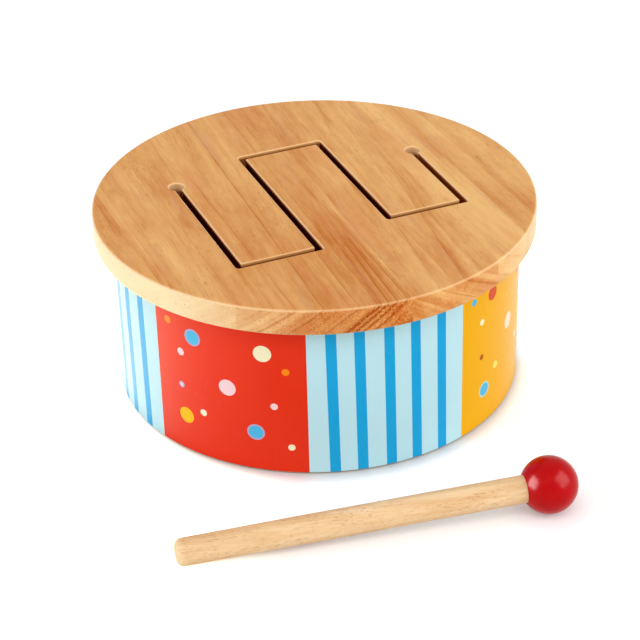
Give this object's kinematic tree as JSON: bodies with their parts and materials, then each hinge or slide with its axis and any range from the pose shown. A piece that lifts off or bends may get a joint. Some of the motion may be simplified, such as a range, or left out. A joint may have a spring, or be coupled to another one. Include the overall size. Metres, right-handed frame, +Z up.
{
  "type": "toy tongue drum",
  "caption": "Round wooden toy tongue drum: a thick slotted top board on a printed round shell, with a loose ball-ended mallet lying in front.",
  "frame": {"origin": "centre of the drum's underside, on the surface that it stands on", "axes": "+Z up along the drum's axis, +Y along the tongues away from the mallet, +X across the tongues"},
  "size_m": [0.2146, 0.2614, 0.0874],
  "materials": {
    "board_wood": "satin oiled, edge-glued staves",
    "plywood": "bare, sanded",
    "printed_skin": "glossy laminated print in panels: striped pale blue, dotted red, dotted yellow",
    "dowel_wood": "bare, sanded",
    "red_lacquer": "gloss lacquer on a wooden ball"
  },
  "bodies": {
    "drum": {"top_board": "board_wood", "shell": "plywood", "base_board": "plywood", "printed_skin": "printed_skin"},
    "mallet": {"mallet_handle": "dowel_wood", "mallet_head": "red_lacquer"}
  },
  "joints": [
    {"name": "mallet_lift", "type": "slide", "parent": "drum", "child": "mallet", "axis": [0, 0, 1], "range_m": [0, 0.15]}
  ]
}
